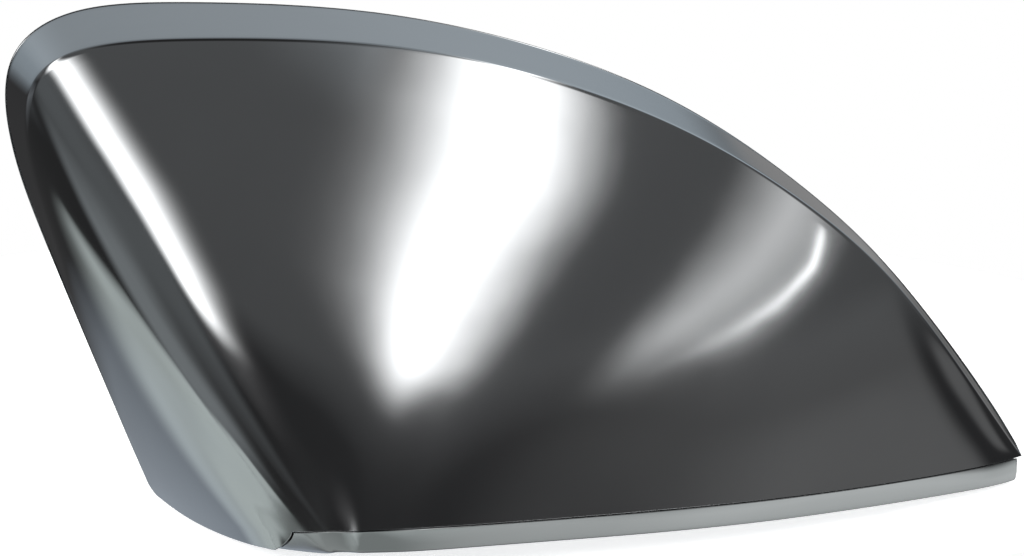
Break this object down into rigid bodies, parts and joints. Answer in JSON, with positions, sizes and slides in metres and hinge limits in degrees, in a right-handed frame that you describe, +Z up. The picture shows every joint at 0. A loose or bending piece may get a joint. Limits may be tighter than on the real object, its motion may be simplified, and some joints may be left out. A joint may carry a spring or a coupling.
{
  "type": "wing mirror cover",
  "caption": "Right-hand wing mirror cover: a thin domed shell with a creased rim band and a hem strip, with clips, hooks and locating pins inside.",
  "frame": {"origin": "end of the main locating pin, in the plane of the rear rim", "axes": "+Y along the main pin towards the rear of the car, +X inboard towards the pointed tip, +Z up"},
  "size_m": [0.229, 0.0694, 0.1124],
  "materials": {
    "satin_plating": "satin metal plating on a plastic moulding"
  },
  "bodies": {
    "root": {"mirror_cover": "satin_plating"}
  },
  "joints": []
}
